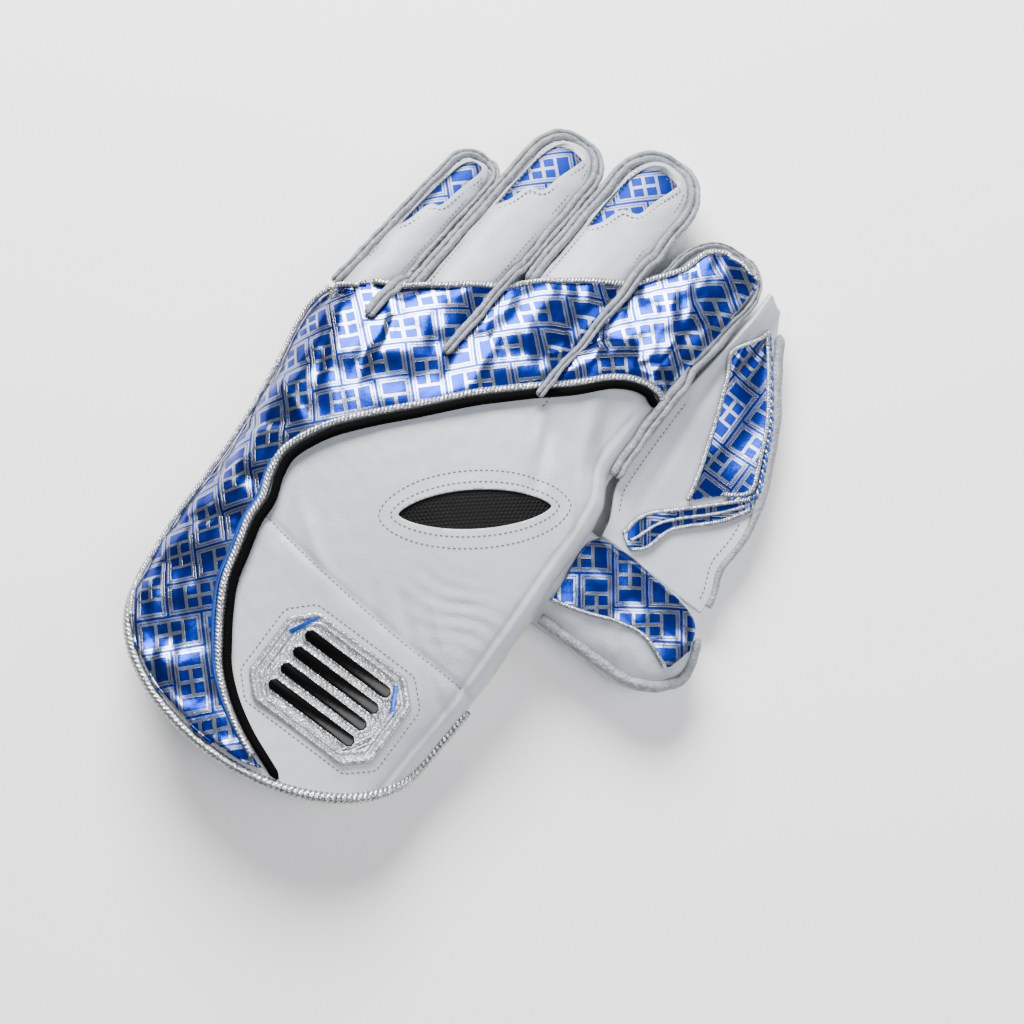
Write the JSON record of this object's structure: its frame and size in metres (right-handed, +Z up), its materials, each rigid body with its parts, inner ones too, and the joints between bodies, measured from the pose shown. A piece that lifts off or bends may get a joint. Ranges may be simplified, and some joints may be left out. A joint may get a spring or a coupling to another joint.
{
  "type": "wicketkeeping glove",
  "caption": "Left-hand wicketkeeping glove lying palm down: moulded leather back and cuff, four finger stalls, thumb stall and catching web.",
  "frame": {"origin": "on the surface that the glove lies on, under the middle of its outline", "axes": "+Y from the cuff towards the fingertips, +X towards the thumb, +Z up out of the back of the hand"},
  "size_m": [0.2228, 0.3286, 0.0593],
  "materials": {
    "white_leather": "smooth white full-grain leather, light sheen",
    "palm_leather": "soft white leather, matt",
    "printed_leather": "blue foil print with silver lines, metallic sheen",
    "silver_braid": "metallic silver braid",
    "black_piping": "tight black woven piping",
    "black_mesh": "black open mesh",
    "palm_rubber": "moulded pimpled rubber, matt",
    "badge_plastic": "pearly moulded plastic",
    "badge_gloss": "glossy black moulded plastic"
  },
  "bodies": {
    "root": {"back_panel": "white_leather", "little_finger": "white_leather", "little_rim": "white_leather", "ring_finger": "white_leather", "ring_rim": "white_leather", "middle_finger": "white_leather", "middle_rim": "white_leather", "index_finger": "white_leather", "index_rim": "white_leather", "thumb": "white_leather", "thumb_rim": "white_leather", "web": "white_leather", "web_binding": "white_leather", "palm": "palm_leather", "print_band": "printed_leather", "little_insert": "printed_leather", "ring_insert": "printed_leather", "middle_insert": "printed_leather", "thumb_print": "printed_leather", "web_print": "printed_leather", "web_strip": "printed_leather", "cuff_binding": "silver_braid", "side_binding": "silver_braid", "band_piping": "black_piping", "mesh_vent": "black_mesh", "palm_facing": "palm_rubber", "badge": "badge_plastic", "badge_bar_1": "badge_gloss", "badge_bar_2": "badge_gloss", "badge_bar_3": "badge_gloss", "badge_bar_4": "badge_gloss"}
  },
  "joints": []
}
